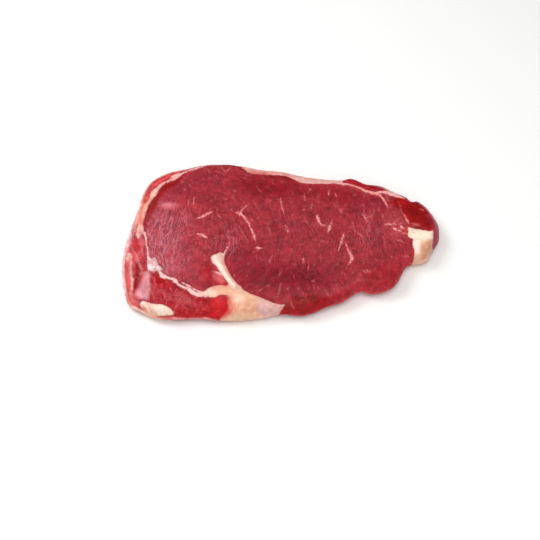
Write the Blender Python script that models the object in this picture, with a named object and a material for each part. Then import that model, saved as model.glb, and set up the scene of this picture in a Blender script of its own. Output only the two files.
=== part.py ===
"""A raw beef steak, lying on its flat lower cut face.

The steak is one slice across a joint of beef, so every muscle and every fat mass runs straight
through it from the lower cut face to the upper one. The lean meat is one solid. Three thick fat
masses are solids of their own, because they show on the cut face and at the side:
fat_wedge enters from the front edge and ends in a tongue, fat_block closes the right end, and
fat_corner lies in the front left corner.

+X runs along the steak, +Y away from its front edge, +Z up. The origin is the middle of the
lower face. The tables below are in millimetres and the objects in metres.
"""

import math

import bmesh
import bpy
import numpy as np
from mathutils import Vector
from mathutils.geometry import delaunay_2d_cdt

MM = 0.001

# Driving sizes of the slice
LENGTH = 220.0          # the outline and all that lies in it are stretched to these two
WIDTH = 131.0
THICKNESS = 13.8
TAPER = 0.8             # the right end is this much thinner than the middle, the left end thicker
WAIST_HEIGHT = 5.4      # height at which the side bulges out furthest
TOP_ROUNDING = 5.6      # how far in from the outline the upper edge starts to fall
BOTTOM_ROUNDING = 5.4   # the same for the lower edge
TOP_ROUNDNESS = 2.3     # exponent of the rounded upper edge: 2 is an ellipse, more is squarer
BOTTOM_ROUNDNESS = 2.0
GAP = 0.3               # clearance between a fat mass and the lean around it
MARKS_SHIFT = (-0.6, 1.0)   # from where marks of the upper face are drawn to where they lie

# Mesh density
RIM_STEP = 4.0          # distance between points round the outline
CELL = 5.2              # distance between points inside
BOTTOM_CELL = 11.0
TOP_RINGS = (0.0, 0.3, 1.0, 2.2, 3.8, 5.6)
BOTTOM_RINGS = (0.0, 0.6, 2.4, 5.4)
ON_RIM = 0.01           # a point this near the outline counts as on it
SEAM_STEP = 3.6         # distance between points along a seam
FAT_STEP = 2.0          # distance between points round a fat mass

# The outline at the height of the waist, clockwise from the middle of the left side
OUTLINE = (
    # left side, up to the back left shoulder
    (-109.6, -17), (-107, 3.4), (-102.2, 27.8), (-99, 43), (-93.4, 53.8), (-82.4, 60.4),
    # back edge of the big round muscle
    (-71.4, 64), (-58.3, 68), (-46, 69), (-35.8, 68.6), (-25.5, 66.2), (-17.8, 64.4),
    # back edge towards the right, with the small ragged lump on it
    (0, 61.7), (19, 56.6), (40, 53.6), (49, 56), (55.5, 53.6), (61.4, 50.2), (71.6, 49), (80, 44),
    # notch and the rounded end muscle
    (89.6, 38.8), (92.2, 34.2), (94.8, 35.6), (99.4, 33), (104.2, 26.8), (108, 19), (110.2, 10),
    (109, 1.5), (104.8, -4.4),
    # end of the fat block
    (102.8, -9.7), (100.3, -13.8), (97.2, -15.8), (92.4, -16.6), (86.2, -18.2),
    # front edge of the right half, with the notch before the middle
    (81.2, -26), (77.2, -34), (69.4, -39.4), (60, -41.8), (52, -39.8), (39.4, -48.4), (29, -52),
    (20.8, -56.2), (11, -58.6), (0, -57.2),
    # front edge of the fat wedge and of the left half
    (-12.2, -60), (-26, -61.8), (-41, -62), (-56, -60.8), (-71, -61.7), (-81, -61.4),
    # front left corner
    (-89, -58.8), (-96.6, -54.4), (-102.8, -51), (-105.4, -42.8), (-108.1, -30.6),
)

# Plan outlines of the fat masses. Where one reaches the steak's side it runs past it
FAT_MASSES = {
    "fat_wedge": (
        (-48, -19), (-41, -16), (-39.5, -23), (-36, -32), (-32, -39.5), (-27, -45), (-18, -49.5),
        (-9, -53.5), (2, -57), (3, -72), (-20, -74), (-40, -72), (-39, -62.5), (-34.5, -58.5),
        (-35, -54.5), (-38, -51.8), (-46, -50.5), (-53.5, -49.3), (-54, -47), (-46, -44.4),
        (-39.5, -42.4), (-38, -38.5), (-41, -33), (-44, -28),
    ),
    "fat_block": (
        (87.6, 6.2), (91, 4.4), (96, 3.4), (100.6, 2.4), (104.6, 3), (104.4, -1), (103.4, -5.6),
        (105, -9), (109, -16), (100, -30), (85, -30), (85.6, -25), (88.4, -21), (89.8, -15),
        (89.6, -9), (89.4, -5), (86.8, -3.4), (86.8, 1),
    ),
    "fat_corner": (
        (-93.4, -57.4), (-89.6, -55.8), (-85, -57), (-80.5, -57.2), (-75.4, -58.8), (-71.8, -62),
        (-70.4, -70), (-86, -72), (-97, -64),
    ),
}

# Seams between the muscles, sunk a little into the upper face
SEAMS = {
    "cap": (
        (-73, 54), (-81, 50.5), (-88, 43.5), (-93.5, 32), (-97, 20), (-98, 6), (-94.5, -6),
        (-91, -20), (-85, -29), (-74, -38.6), (-61, -46.5), (-54, -48.6),
    ),
    "tail": ((38, 46.3), (48, 44.2), (58, 38.6), (69, 35), (73.5, 29), (76, 23.5)),
}
SEAM_DEPTH = 1.0
SEAM_HALF_WIDTH = 2.6

# Slow swells and dips of the upper face: centre x and y, reach in x and y, height
SWELLS = (
    (-55, 12, 46, 46, 1.0),      # big round muscle
    (38, -2, 52, 40, 0.8),       # long muscle
    (-74, -50, 30, 11, 0.9),     # cap muscle along the front
    (-101, -20, 9, 34, 0.5),     # cap muscle along the left
    (93, 16, 15, 13, 1.3),       # end muscle
    (-26, 8, 11, 26, -0.8),      # dip between the two big muscles
    (62, 34, 24, 9, -0.5),       # dip before the end muscle
    (-10, -66, 130, 13, -1.8),   # the face slopes down to the front edge
)
FAT_RISE = 0.7          # fat stands this far above the lean, which draws back as it dries
FAT_SHOULDER = 3.0      # distance over which it rises


def smooth_loop(points, step):
    """A closed curve through the points, resampled at an even spacing of about step."""
    fine = 24
    corners = np.array(points, float)
    before, after = np.roll(corners, 1, 0), np.roll(corners, -1, 0)
    beyond = np.roll(corners, -2, 0)
    curve = []
    for i in range(fine):
        t = i / fine
        weights = (
            -0.5 * t + t**2 - 0.5 * t**3,
            1 - 2.5 * t**2 + 1.5 * t**3,
            0.5 * t + 2 * t**2 - 1.5 * t**3,
            -0.5 * t**2 + 0.5 * t**3,
        )
        curve.append(sum(w * p for w, p in zip(weights, (before, corners, after, beyond))))
    curve = np.stack(curve, 1).reshape(-1, 2)
    return resampled(np.vstack([curve, curve[:1]]), step)[:-1]


def resampled(line, step):
    """The same line with points at an even spacing of about step, both ends kept."""
    lengths = np.linalg.norm(np.diff(line, axis=0), axis=1)
    along = np.concatenate([[0], np.cumsum(lengths)])
    stations = np.linspace(0, along[-1], max(2, round(along[-1] / step) + 1))
    return np.stack([np.interp(stations, along, line[:, k]) for k in (0, 1)], 1)


def outward(loop):
    """Unit normals of a clockwise loop, pointing out of it."""
    tangent = np.roll(loop, -1, 0) - np.roll(loop, 1, 0)
    tangent /= np.linalg.norm(tangent, axis=1)[:, None]
    return np.stack([-tangent[:, 1], tangent[:, 0]], 1)


def distance_to(line, points):
    """Distance from each point to the nearest place on a line, given as its points."""
    start, run = line[:-1], np.diff(line, axis=0)
    offset = points[:, None] - start[None]
    share = np.clip((offset * run).sum(2) / (run**2).sum(1), 0, 1)
    return np.linalg.norm(offset - share[..., None] * run, axis=2).min(1)


def inside(loop, points):
    """Whether each point lies inside a closed loop."""
    ax, ay = loop.T
    bx, by = np.roll(loop, -1, 0).T
    px, py = points[:, :1], points[:, 1:]
    crosses = (ay > py) != (by > py)
    height = np.where(by == ay, 1.0, by - ay)
    return ((px < (bx - ax) * (py - ay) / height + ax) & crosses).sum(1) % 2 == 1


def depth_in(loop, points):
    """Distance from the loop, positive inside it and negative outside."""
    distance = distance_to(np.vstack([loop, loop[:1]]), points)
    return np.where(inside(loop, points), distance, -distance)


def blend(value):
    """0 below 0, 1 above 1, and a smooth step between."""
    value = np.clip(value, 0, 1)
    return value * value * (3 - 2 * value)


DRAWN = smooth_loop(OUTLINE, RIM_STEP)
MIDDLE = (DRAWN.min(0) + DRAWN.max(0)) / 2
STRETCH = np.array((LENGTH, WIDTH)) / np.ptp(DRAWN, axis=0)


def placed(points):
    """Points of the outline, moved and stretched so that its box is centred."""
    return (np.array(points, float) - MIDDLE) * STRETCH


def marked(points):
    """Points of the other tables, which were drawn on the upper face."""
    return placed(np.array(points, float) + MARKS_SHIFT)


RIM = placed(DRAWN)
FAT_LOOPS = {name: smooth_loop(marked(points), FAT_STEP) for name, points in FAT_MASSES.items()}
SEAM_LINES = {name: resampled(marked(points), SEAM_STEP) for name, points in SEAMS.items()}


def crown(points):
    """Height of the upper face away from its edge."""
    x, y = points.T
    height = THICKNESS - TAPER * x / (LENGTH / 2)
    for *middle, reach_x, reach_y, rise in SWELLS:
        mx, my = marked(middle)
        away = ((x - mx) / reach_x) ** 2 + ((y - my) / reach_y) ** 2
        height = height + rise * np.exp(-away)
    for line in SEAM_LINES.values():
        away = distance_to(line, points)
        height = height - SEAM_DEPTH * np.exp(-((away / SEAM_HALF_WIDTH) ** 2))
    for loop in FAT_LOOPS.values():
        height = height + FAT_RISE * blend(depth_in(loop, points) / FAT_SHOULDER + 0.5)
    return height


def waist(points):
    """Height at which the side bulges furthest, which wanders a little round the steak."""
    x, y = points.T
    return WAIST_HEIGHT + 0.7 * np.sin(x / 23) + 0.6 * np.cos(y / 17 + x / 40)


def rounded(share, exponent):
    """Rise from 0 at the outline to 1 where the rounding ends."""
    return (1 - (1 - np.clip(share, 0, 1)) ** exponent) ** (1 / exponent)


def share_of(reach, points):
    """How far in from the outline each point lies, as a share of reach: 0 for one on the outline."""
    depth = depth_in(RIM, points)
    return np.where(depth > ON_RIM, depth, 0) / reach


def upper(points):
    edge = waist(points)
    return edge + (crown(points) - edge) * rounded(share_of(TOP_ROUNDING, points), TOP_ROUNDNESS)


def lower(points):
    return waist(points) * (1 - rounded(share_of(BOTTOM_ROUNDING, points), BOTTOM_ROUNDNESS))


def rings(insets):
    """The outline and its copies drawn in by each inset."""
    found = [RIM - outward(RIM) * inset for inset in insets]
    keep = [depth_in(RIM, ring) > 0.8 * inset for ring, inset in zip(found, insets)]
    return np.vstack([found[0]] + [ring[kept] for ring, kept in zip(found[1:], keep[1:])])


def lattice(cell, clear):
    """Points of a triangular grid that lie deeper than clear inside the outline."""
    rise = cell * math.sqrt(3) / 2
    rows = np.arange(-WIDTH / 2, WIDTH / 2, rise)
    columns = np.arange(-LENGTH / 2, LENGTH / 2, cell)
    grid = [(x + (row % 2) * cell / 2, y) for row, y in enumerate(rows) for x in columns]
    grid = np.array(grid)
    return grid[depth_in(RIM, grid) > clear]


def rows_beside(line, offset):
    """A line's points and the two rows beside it."""
    tangent = np.gradient(line, axis=0)
    tangent /= np.linalg.norm(tangent, axis=1)[:, None]
    normal = np.stack([-tangent[:, 1], tangent[:, 0]], 1)
    return np.vstack([line, line + normal * offset, line - normal * offset])


def upper_points():
    """Rings at the edge, rows along the seams and fat borders, and a grid between them."""
    edge = rings(TOP_RINGS)
    rows = [rows_beside(line, SEAM_HALF_WIDTH) for line in SEAM_LINES.values()]
    for loop in FAT_LOOPS.values():
        border = resampled(loop, SEAM_STEP)
        normal = outward(border)
        rows += [border + normal * FAT_SHOULDER / 2, border - normal * FAT_SHOULDER / 2]
    rows = np.vstack(rows)
    rows = rows[depth_in(RIM, rows) > TOP_ROUNDING + 1.5]
    rows = spread(rows, 1.6)
    grid = lattice(CELL, TOP_ROUNDING + CELL / 3)
    away = np.linalg.norm(grid[:, None] - rows[None], axis=2).min(1)
    return np.vstack([edge, rows, grid[away > CELL * 0.55]])


def spread(points, apart):
    """The points without those that lie too close to an earlier one."""
    kept = []
    for point in points:
        if all(np.linalg.norm(point - other) > apart for other in kept):
            kept.append(point)
    return np.array(kept)


def skin(bm, points, height, face_up):
    """Adds a triangulated sheet over the outline at the given heights."""
    count = len(RIM)
    border = [(i, (i + 1) % count) for i in range(count)]
    flat = [Vector(p) for p in points]
    corners, _, faces, *_ = delaunay_2d_cdt(flat, border, [], 1, 1e-4)
    plan = np.array([tuple(c) for c in corners])
    made = [bm.verts.new((x * MM, y * MM, z * MM)) for (x, y), z in zip(plan, height(plan))]
    for face in faces:
        turn = face if face_up else face[::-1]
        bm.faces.new([made[i] for i in turn])


def slice_mesh():
    """The whole slice as one closed mesh."""
    bm = bmesh.new()
    skin(bm, upper_points(), upper, True)
    bottom = np.vstack([rings(BOTTOM_RINGS), lattice(BOTTOM_CELL, BOTTOM_ROUNDING + 3)])
    skin(bm, bottom, lower, False)
    bmesh.ops.remove_doubles(bm, verts=bm.verts, dist=0.02 * MM)
    bmesh.ops.recalc_face_normals(bm, faces=bm.faces)
    return bm


def new_object(name, bm, material=None):
    mesh = bpy.data.meshes.new(name)
    bm.to_mesh(mesh)
    bm.free()
    made = bpy.data.objects.new(name, mesh)
    bpy.context.scene.collection.objects.link(made)
    if material:
        mesh.materials.append(material)
    return made


def cutter(name, loop):
    """A plan outline drawn up into a tall block, used to divide the slice."""
    bm = bmesh.new()
    low, high = -10.0, THICKNESS + 12.0
    base = bm.faces.new([bm.verts.new((x * MM, y * MM, low * MM)) for x, y in loop])
    drawn = bmesh.ops.extrude_face_region(bm, geom=[base])
    top = [item for item in drawn["geom"] if isinstance(item, bmesh.types.BMVert)]
    bmesh.ops.translate(bm, verts=top, vec=(0, 0, (high - low) * MM))
    bmesh.ops.recalc_face_normals(bm, faces=bm.faces)
    made = new_object(name, bm)
    made.hide_render = True
    made.display_type = "WIRE"
    return made


def divide(target, tool, operation):
    """Keeps what the slice and the tool share, or takes the tool out of it."""
    modifier = target.modifiers.new(operation.title() + "_" + tool.name, "BOOLEAN")
    modifier.operation = operation
    modifier.solver = "EXACT"
    modifier.object = tool


def material(name, colour, roughness):
    made = bpy.data.materials.new(name)
    made.use_nodes = True
    shader = made.node_tree.nodes["Principled BSDF"]
    shader.inputs["Base Color"].default_value = (*colour, 1.0)
    shader.inputs["Roughness"].default_value = roughness
    shader.inputs["Metallic"].default_value = 0.0
    made.diffuse_color = (*colour, 1.0)
    return made


def clear_scene():
    for old in list(bpy.data.objects):
        bpy.data.objects.remove(old, do_unlink=True)


def main():
    clear_scene()
    red = material("lean_meat", (0.38, 0.028, 0.035), 0.38)
    cream = material("beef_fat", (0.80, 0.56, 0.40), 0.45)
    lean = new_object("lean", slice_mesh(), red)
    for name, loop in FAT_LOOPS.items():
        fat = new_object(name, slice_mesh(), cream)
        divide(fat, cutter(name + "_shape", loop), "INTERSECT")
        pocket = loop + outward(loop) * GAP
        divide(lean, cutter(name + "_pocket", pocket), "DIFFERENCE")
    for made in bpy.context.scene.objects:
        if not made.hide_render:
            made.data.shade_smooth()
            made.data.set_sharp_from_angle(angle=math.radians(40))


main()
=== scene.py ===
# %% [markdown]
# # A raw beef steak
# The steak is one slice across a joint of beef. Its solids come ready made from the CAD model, and
# this lesson gives them their looks: the wet red meat with its fibres, the seams between muscles,
# the fine marbling, and the cream fat at the edges. Everything is in metres, with +Z up.

# %% Load the solids
import math

import bmesh
import bpy
import numpy as np
from mathutils import Euler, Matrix, Vector, kdtree, noise


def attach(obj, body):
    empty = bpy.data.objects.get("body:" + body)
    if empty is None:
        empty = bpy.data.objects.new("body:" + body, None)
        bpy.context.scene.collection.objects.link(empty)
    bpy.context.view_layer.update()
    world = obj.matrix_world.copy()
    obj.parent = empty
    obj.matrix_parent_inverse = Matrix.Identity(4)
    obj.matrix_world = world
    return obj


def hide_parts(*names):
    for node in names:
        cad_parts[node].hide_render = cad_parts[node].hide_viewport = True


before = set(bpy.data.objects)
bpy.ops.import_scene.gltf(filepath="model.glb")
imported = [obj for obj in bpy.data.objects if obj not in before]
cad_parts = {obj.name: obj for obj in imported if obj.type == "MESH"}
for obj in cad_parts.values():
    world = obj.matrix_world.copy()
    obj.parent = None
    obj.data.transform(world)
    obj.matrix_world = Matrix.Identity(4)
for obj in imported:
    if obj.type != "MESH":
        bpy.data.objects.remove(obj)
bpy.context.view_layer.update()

MM = 0.001
print("solids:", sorted(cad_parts))

# %% [markdown]
# ## Where the eye is
# The marks on the meat are drawn as they look from the camera, so the camera's place comes first.
# It looks down at 55 degrees with a lens a little longer than normal. Lengths below are in
# millimetres until a mesh is made of them.

# %% Place of the camera
EYE = np.array((-8.883, -378.259, 508.765))
TILT = math.radians(35)
LENS, SENSOR = 60.0, 36.0

# %% [markdown]
# ## One body from four solids
# On the real steak meat and fat grow together, while the solids have a gap of 0.3 mm between them.
# Each solid is copied, its loose triangles are merged, and it is grown by a hair so that the gaps
# close. A voxel remesh then makes one even skin over all of them. An even skin is what the
# sculpting below needs: its points are 0.8 mm apart everywhere, also on the sides.

# %% Join and remesh
GROWTH, SHRINK_BACK = 0.30 * MM, 0.7
VOXEL = 0.82 * MM
SMOOTHING_ROUNDS = 2


def grown_copy(bm, node):
    """Adds a merged copy of a solid, grown along its normals, to bm."""
    piece = bmesh.new()
    piece.from_mesh(node.data)
    bmesh.ops.remove_doubles(piece, verts=piece.verts, dist=0.001 * MM)
    piece.normal_update()
    for vert in piece.verts:
        vert.co += vert.normal * GROWTH
    held = bpy.data.meshes.new("held")
    piece.to_mesh(held)
    piece.free()
    bm.from_mesh(held)
    bpy.data.meshes.remove(held)


body = bmesh.new()
for name in sorted(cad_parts):
    grown_copy(body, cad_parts[name])
rough_mesh = bpy.data.meshes.new("rough_steak")
body.to_mesh(rough_mesh)
body.free()
rough = bpy.data.objects.new("rough_steak", rough_mesh)
bpy.context.scene.collection.objects.link(rough)
remesh = rough.modifiers.new("Even_skin", "REMESH")
remesh.mode = "VOXEL"
remesh.voxel_size = VOXEL
evaluated = rough.evaluated_get(bpy.context.evaluated_depsgraph_get())

skin = bmesh.new()
skin.from_mesh(evaluated.to_mesh())
evaluated.to_mesh_clear()
bpy.data.objects.remove(rough, do_unlink=True)
for _ in range(SMOOTHING_ROUNDS):
    bmesh.ops.smooth_vert(
        skin, verts=skin.verts, factor=0.5, use_axis_x=True, use_axis_y=True, use_axis_z=True
    )
skin.normal_update()
co = np.array([v.co for v in skin.verts]) / MM
normal = np.array([v.normal for v in skin.verts])
co -= normal * GROWTH / MM * SHRINK_BACK
print("points in the skin:", len(co))

# %% [markdown]
# ## A drawing laid over the steak
# The marks are given by where they lie on a flat drawing at the height of the upper face. A point
# of the upper face or of the visible wall takes the mark that the eye sees it in front of. The
# parts that the eye can't see take the mark straight above or below them, because a slice of beef
# looks much the same on both faces. Between the two there is a soft change on the wall.

# %% Faces, wall and drawing
FACE_HEIGHT = 14.5
DRAWING_ZERO = np.array((1.59, 4.37))  # the steak's own origin, on the drawing
STEEP = 0.12  # how far a normal may point up or down on the outline
UPRIGHT, ROUNDING = 0.25, 0.55  # where the wall begins to round off, and over how much
TURN = 0.35  # how far a normal may turn from the eye before it is out of sight


def blend(value):
    """0 below 0, 1 above 1, and a smooth step between."""
    value = np.clip(value, 0, 1)
    return value * value * (3 - 2 * value)


plan = co[:, :2]
wall = 1 - np.clip((np.abs(normal[:, 2]) - UPRIGHT) / ROUNDING, 0, 1)

to_eye = EYE - co
facing = (normal * to_eye).sum(1) / np.linalg.norm(to_eye, axis=1)
in_sight = blend(1 + facing / TURN)[:, None]
along = (FACE_HEIGHT - EYE[2]) / (co[:, 2] - EYE[2])
sheet = in_sight * (EYE[:2] - to_eye[:, :2] * along[:, None]) + (1 - in_sight) * plan
sheet += DRAWING_ZERO


def distance_to(marks, points):
    """Distance from each point to the nearest of the marks."""
    tree = kdtree.KDTree(len(marks))
    for i, (x, y) in enumerate(marks):
        tree.insert((x, y, 0), i)
    tree.balance()
    return np.array([tree.find((x, y, 0))[2] for x, y in points])


depth = distance_to(plan[np.abs(normal[:, 2]) < STEEP], plan)
from_skyline = distance_to(sheet[np.abs(facing) < 0.05], sheet)
print("deepest point inside the outline: %.1f mm" % depth.max())


# %% Distance to drawn lines and areas
def line_field(points, lines):
    """How far inside the nearest line each point lies, and its distance to that line's middle.

    Each line is a row of (x, y, half width). The first result is positive inside the line. The
    second has a sign, which tells the two sides of the line apart.
    """
    inside = np.full(len(points), -99.0)
    side = np.full(len(points), 99.0)
    for line in lines:
        for (ax, ay, aw), (bx, by, bw) in zip(line[:-1], line[1:]):
            run = np.array((bx - ax, by - ay))
            length = max(1e-6, math.hypot(*run))
            reach = 6 + max(aw, bw)
            near = np.flatnonzero(
                (np.abs(points[:, 0] - (ax + bx) / 2) < reach + length / 2)
                & (np.abs(points[:, 1] - (ay + by) / 2) < reach + length / 2)
            )
            off = points[near] - (ax, ay)
            share = np.clip(off @ run / length**2, 0, 1)
            away = np.hypot(*(off - share[:, None] * run).T)
            score = aw + (bw - aw) * share - away
            better = score > inside[near]
            picked = near[better]
            inside[picked] = score[better]
            turn = (run[0] * off[:, 1] - run[1] * off[:, 0]) / length
            side[picked] = (np.sign(turn) * away)[better]
    return inside, side


def area_field(points, corners):
    """How far inside a closed area each point lies, negative outside."""
    corners = np.asarray(corners)[:, :2]
    closed = np.vstack([corners, corners[:1]])
    away = np.full(len(points), 99.0)
    crossings = np.zeros(len(points), int)
    px, py = points.T
    for (ax, ay), (bx, by) in zip(closed[:-1], closed[1:]):
        run = np.array((bx - ax, by - ay))
        off = points - (ax, ay)
        share = np.clip(off @ run / max(1e-9, run @ run), 0, 1)
        away = np.minimum(away, np.hypot(*(off - share[:, None] * run).T))
        if ay != by:
            crossings += ((ay > py) != (by > py)) & (px < (bx - ax) * (py - ay) / (by - ay) + ax)
    return np.where(crossings % 2 == 1, away, -away)


def rounded(corners, rounds=2):
    """The area with its corners cut off, as Chaikin does, which makes it a soft curve."""
    corners = np.asarray(corners, float)
    for _ in range(rounds):
        ahead = np.roll(corners, -1, 0)
        corners = np.stack([0.75 * corners + 0.25 * ahead, 0.25 * corners + 0.75 * ahead], 1)
        corners = corners.reshape(-1, corners.shape[-1])
    return corners


# %% [markdown]
# ## The fat masses
# Three thick masses of fat run right through the slice, and a thin cover lies along its back
# edge. Each is an area of the drawing with its corners rounded off. Past the outline of the steak
# an area may run on, so that it also takes in the wall below.

# %% Areas of fat
WEDGE = [
    (-47.5, -16.8), (-46, -15.3), (-43, -14.6), (-41, -13.4), (-38.8, -13.6), (-38, -16),
    (-38.6, -18), (-38.4, -21), (-37, -24.5), (-35, -29.5), (-32.5, -34), (-30, -38), (-27, -41),
    (-25, -44), (-20, -47), (-15, -49), (-10, -51.6), (-5, -54.2), (-1, -55.6), (.5, -56),
    (1.2, -54.8), (2.4, -56), (1, -58), (-1, -61), (-4, -72), (-18, -76), (-38, -74), (-41, -68),
    (-37.4, -65.4), (-34, -62.4), (-32.4, -59), (-33.8, -54), (-34, -50.5), (-34.6, -48.4),
    (-37, -47.8), (-41, -48), (-43, -49.5), (-46, -50.2), (-49.5, -47.8), (-53, -48.8),
    (-54, -46.4), (-50.4, -44.4), (-47, -41.9), (-43.5, -40.5), (-39, -40), (-36.5, -40.5),
    (-34.4, -39.5), (-36, -36.5), (-38, -33.5), (-40.2, -30.5), (-41.6, -28), (-43, -24.5),
    (-45.6, -22.6), (-46.8, -19.5),
]
BLOCK = [
    (88.5, 9), (91, 7.6), (95, 6.6), (100, 5.6), (101.5, 4.9), (103, 4.9), (105.5, 6), (105.8, 4),
    (105, 0), (104.3, -4), (103.7, -8), (103.4, -12), (105, -18), (101, -27), (92, -31),
    (86, -27), (88, -23.4), (89.6, -20), (90.4, -16), (91.2, -12), (90.3, -8), (90.4, -5),
    (91, -2.5), (90, -1.4), (87.6, -.6), (88, 3), (88.6, 6),
]
CORNER = [
    (-92.5, -55.8), (-91.8, -53.2), (-89, -52.4), (-86.5, -54.2), (-82.5, -54.9), (-79, -54.9),
    (-75.5, -56), (-72, -58.6), (-69.7, -61.4), (-69.4, -63), (-71, -63.7), (-75, -64),
    (-80, -64.4), (-84, -64.2), (-87.5, -62.6), (-89.5, -60), (-91, -57.5),
]
COVER = [
    (-30, 67), (-27.6, 62.6), (-25.4, 60.8), (-23.6, 58.8), (-20, 57.4), (-15, 57), (-10, 56.6),
    (-5, 56), (0, 55.4), (5, 54.5), (8, 53.2), (10, 51.9), (12, 50.6), (14, 49.3),
    (16, 48.6), (20, 48), (25, 47.8), (30, 47.7), (35, 47.6), (38, 48), (40, 47.9), (45, 47.2),
    (46.5, 48), (44.5, 50.5), (44, 62), (0, 78), (-30, 78),
]
fat = np.full(len(co), -99.0)
for area in (WEDGE, BLOCK, CORNER, COVER):
    fat = np.maximum(fat, area_field(sheet, rounded(area)))
print("share of the skin that is thick fat: %.1f%%" % (100 * (fat > 0).mean()))

# %% [markdown]
# ## Seams
# Where two muscles meet there is a seam: a sheet of fat and white sinew, which the cut shows as a
# line. The broad one on the left parts the round eye muscle from the thin cap muscle outside it.
# Where a seam is broad and uneven it is an area, and elsewhere a line with a width of its own.

# %% Seams as lines and areas
SEAM_LINES = [
    # from the back edge to the broad seam on the left
    [(-71, 57.6, .8), (-66, 60.4, .5), (-60, 62.8, .6), (-55, 64, .3)],
    # down from the broad seam to the white spot, and on to the fat wedge
    [(-94, 4, .8), (-92.8, 0, .5), (-91.8, -6, .5), (-90.4, -12, .6), (-89.4, -18, .9)],
    [(-82, -27.4, 1.2), (-80.8, -29.5, .9), (-79.5, -32, 1.6), (-77, -33.5, 1.2),
     (-74, -34.8, .7), (-71.5, -35.2, 1.0), (-70, -36.8, 1.3), (-68.3, -39.2, .8),
     (-66.5, -40.8, .7), (-64, -42, .9), (-61, -43.5, 1.2), (-58.5, -45.6, 1.3),
     (-55.5, -47.6, 1.6), (-52.5, -48, 1.6), (-49, -47.6, 1.6)],
    [(-65.6, -37.8, .3), (-62.5, -39.6, .6), (-60, -41.5, .5), (-57, -43.4, .6), (-54, -45, .4),
     (-51, -45.6, .3)],
    # between the long muscle and the end muscle
    [(44, 47.9, 1.1), (49, 47.2, .8), (53, 46, .7), (57, 43.9, .8), (60.5, 41.4, 1.0),
     (64, 39.9, 1.1), (68, 38.8, 1.1), (71, 37, .9), (73, 34, .8), (74.5, 30, .7), (76, 26, .3)],
    [(69, 39.6, .8), (72, 40.2, .9), (75, 39.9, 1.3), (78, 39, 1.6), (81, 37.8, 1.6),
     (84, 36.4, 1.1), (88, 34.2, .4)],
    # feathered border on the left of the wedge
    [(-46, -28.4, .2), (-43.4, -29.4, .5), (-40.5, -31, .8)],
    # tail of the tongue, up into the eye muscle
    [(-38.4, -14.4, .5), (-37.4, -11.4, .4), (-36.2, -8, .3)],
]
BROAD_SEAM = [
    (-94.4, 4), (-95.6, 10), (-95.7, 15), (-94.3, 22), (-93.2, 28), (-90.3, 35), (-88.5, 37.5),
    (-87.5, 39.5), (-86.5, 43.5), (-85.2, 45.5), (-84, 47.5), (-81, 49.5), (-78, 50.8), (-75, 52),
    (-73.2, 53.5), (-71.2, 56.4), (-72, 58.5), (-75, 57.3), (-77, 56), (-78.8, 54.5),
    (-79.5, 52.4), (-81.5, 51), (-84, 49.2), (-86.5, 47), (-88, 45), (-88.8, 43.4),
    (-90.5, 43), (-92, 40.5), (-92.8, 38), (-93, 34), (-96.4, 27), (-97.8, 22), (-98.6, 15),
    (-99.4, 8), (-100, 3), (-98.8, -1), (-97.4, -1.6), (-96, 1),
]
WHITE_SPOT = [
    (-90, -17), (-88.6, -16.6), (-87.2, -19), (-85.4, -16.8), (-83.8, -19.6), (-82.6, -23),
    (-79.8, -25.6), (-79, -28), (-81.5, -28.4), (-84.5, -29.4), (-88.8, -28), (-90.2, -24),
]
seam, _ = line_field(sheet, SEAM_LINES)
for area in (BROAD_SEAM, WHITE_SPOT):
    seam = np.maximum(seam, area_field(sheet, rounded(area, 1)))
print("share of the skin in seams: %.1f%%" % (100 * (seam > 0).mean()))

# %% [markdown]
# ## Which way the fibres run
# Muscle fibres run through the slice from face to face, so the cut shows their ends. They are
# packed in bundles, and the bundles lie in rows. On the eye muscle the rows bend round its middle,
# and on the long muscle they are almost straight. The rows are the level lines of one simple
# function, and the marbling, the grain and the colour streaks all follow them.

# %% Rows of fibre bundles
EYE_MIDDLE = (-60.8, 0.6)
BEND_LEFT, BEND_RIGHT = -1 / 60, 1 / 46


def bend_at(x):
    """Curvature of the rows, which falls to nearly nothing on the long muscle."""
    left = BEND_LEFT * blend((EYE_MIDDLE[0] - x) / 34)
    right = BEND_RIGHT * blend((x - EYE_MIDDLE[0]) / 30) * (1 - 0.88 * blend((x + 30) / 36))
    return left + right


def across_rows(x, y):
    """Distance across the rows of bundles."""
    return x + bend_at(x) * (y - EYE_MIDDLE[1]) ** 2 / 2


def along_rows(x, y):
    """Unit direction of the rows at a place."""
    h = 0.5
    gx = (across_rows(x + h, y) - across_rows(x - h, y)) / (2 * h)
    gy = (across_rows(x, y + h) - across_rows(x, y - h)) / (2 * h)
    size = np.hypot(gx, gy)
    return -gy / size, gx / size


rows = np.stack([across_rows(*sheet.T), sheet[:, 1], np.zeros(len(co))], 1)
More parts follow.
